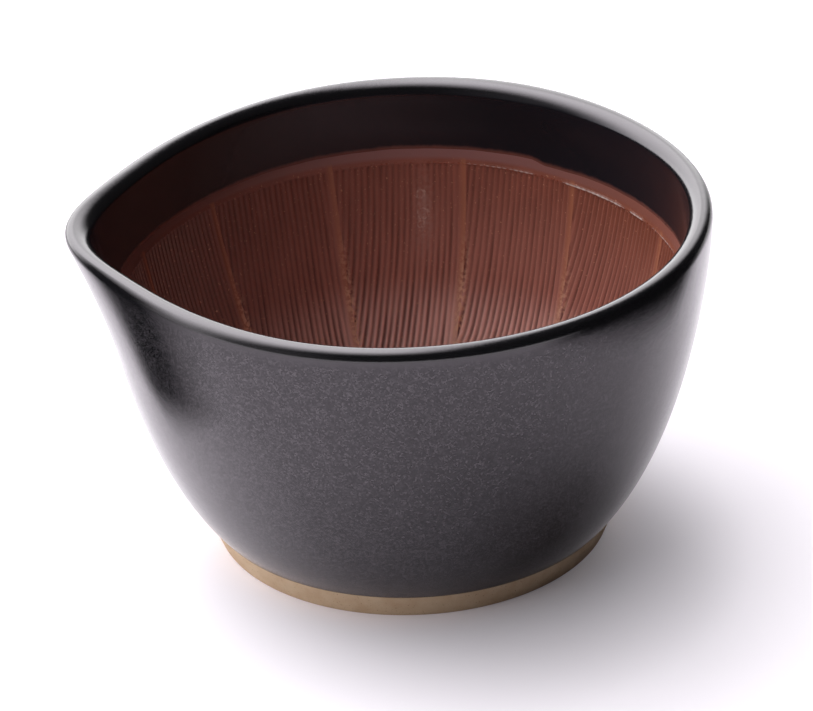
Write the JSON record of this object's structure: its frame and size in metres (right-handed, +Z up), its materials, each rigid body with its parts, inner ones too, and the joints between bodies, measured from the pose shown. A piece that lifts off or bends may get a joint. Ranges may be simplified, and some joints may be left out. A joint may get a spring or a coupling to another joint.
{
  "type": "mortar bowl",
  "caption": "Spouted stoneware grinding bowl: a tall round mortar with a combed, ridged red-brown inside, satin black glaze outside and a bare clay foot.",
  "frame": {"origin": "centre of the flat base, on the surface that the bowl stands on", "axes": "+Z up along the pot's turning axis; the spout points along -X"},
  "size_m": [0.1985, 0.19, 0.109],
  "materials": {
    "bare_stoneware": "bare fired clay, matt and slightly gritty",
    "satin_black_glaze": "satin black glaze with fine speckle",
    "red_brown_slip": "thin red-brown slip, low sheen, combed"
  },
  "bodies": {
    "root": {"stoneware_body": "bare_stoneware", "black_glaze": "satin_black_glaze", "combed_lining": "red_brown_slip"}
  },
  "joints": []
}
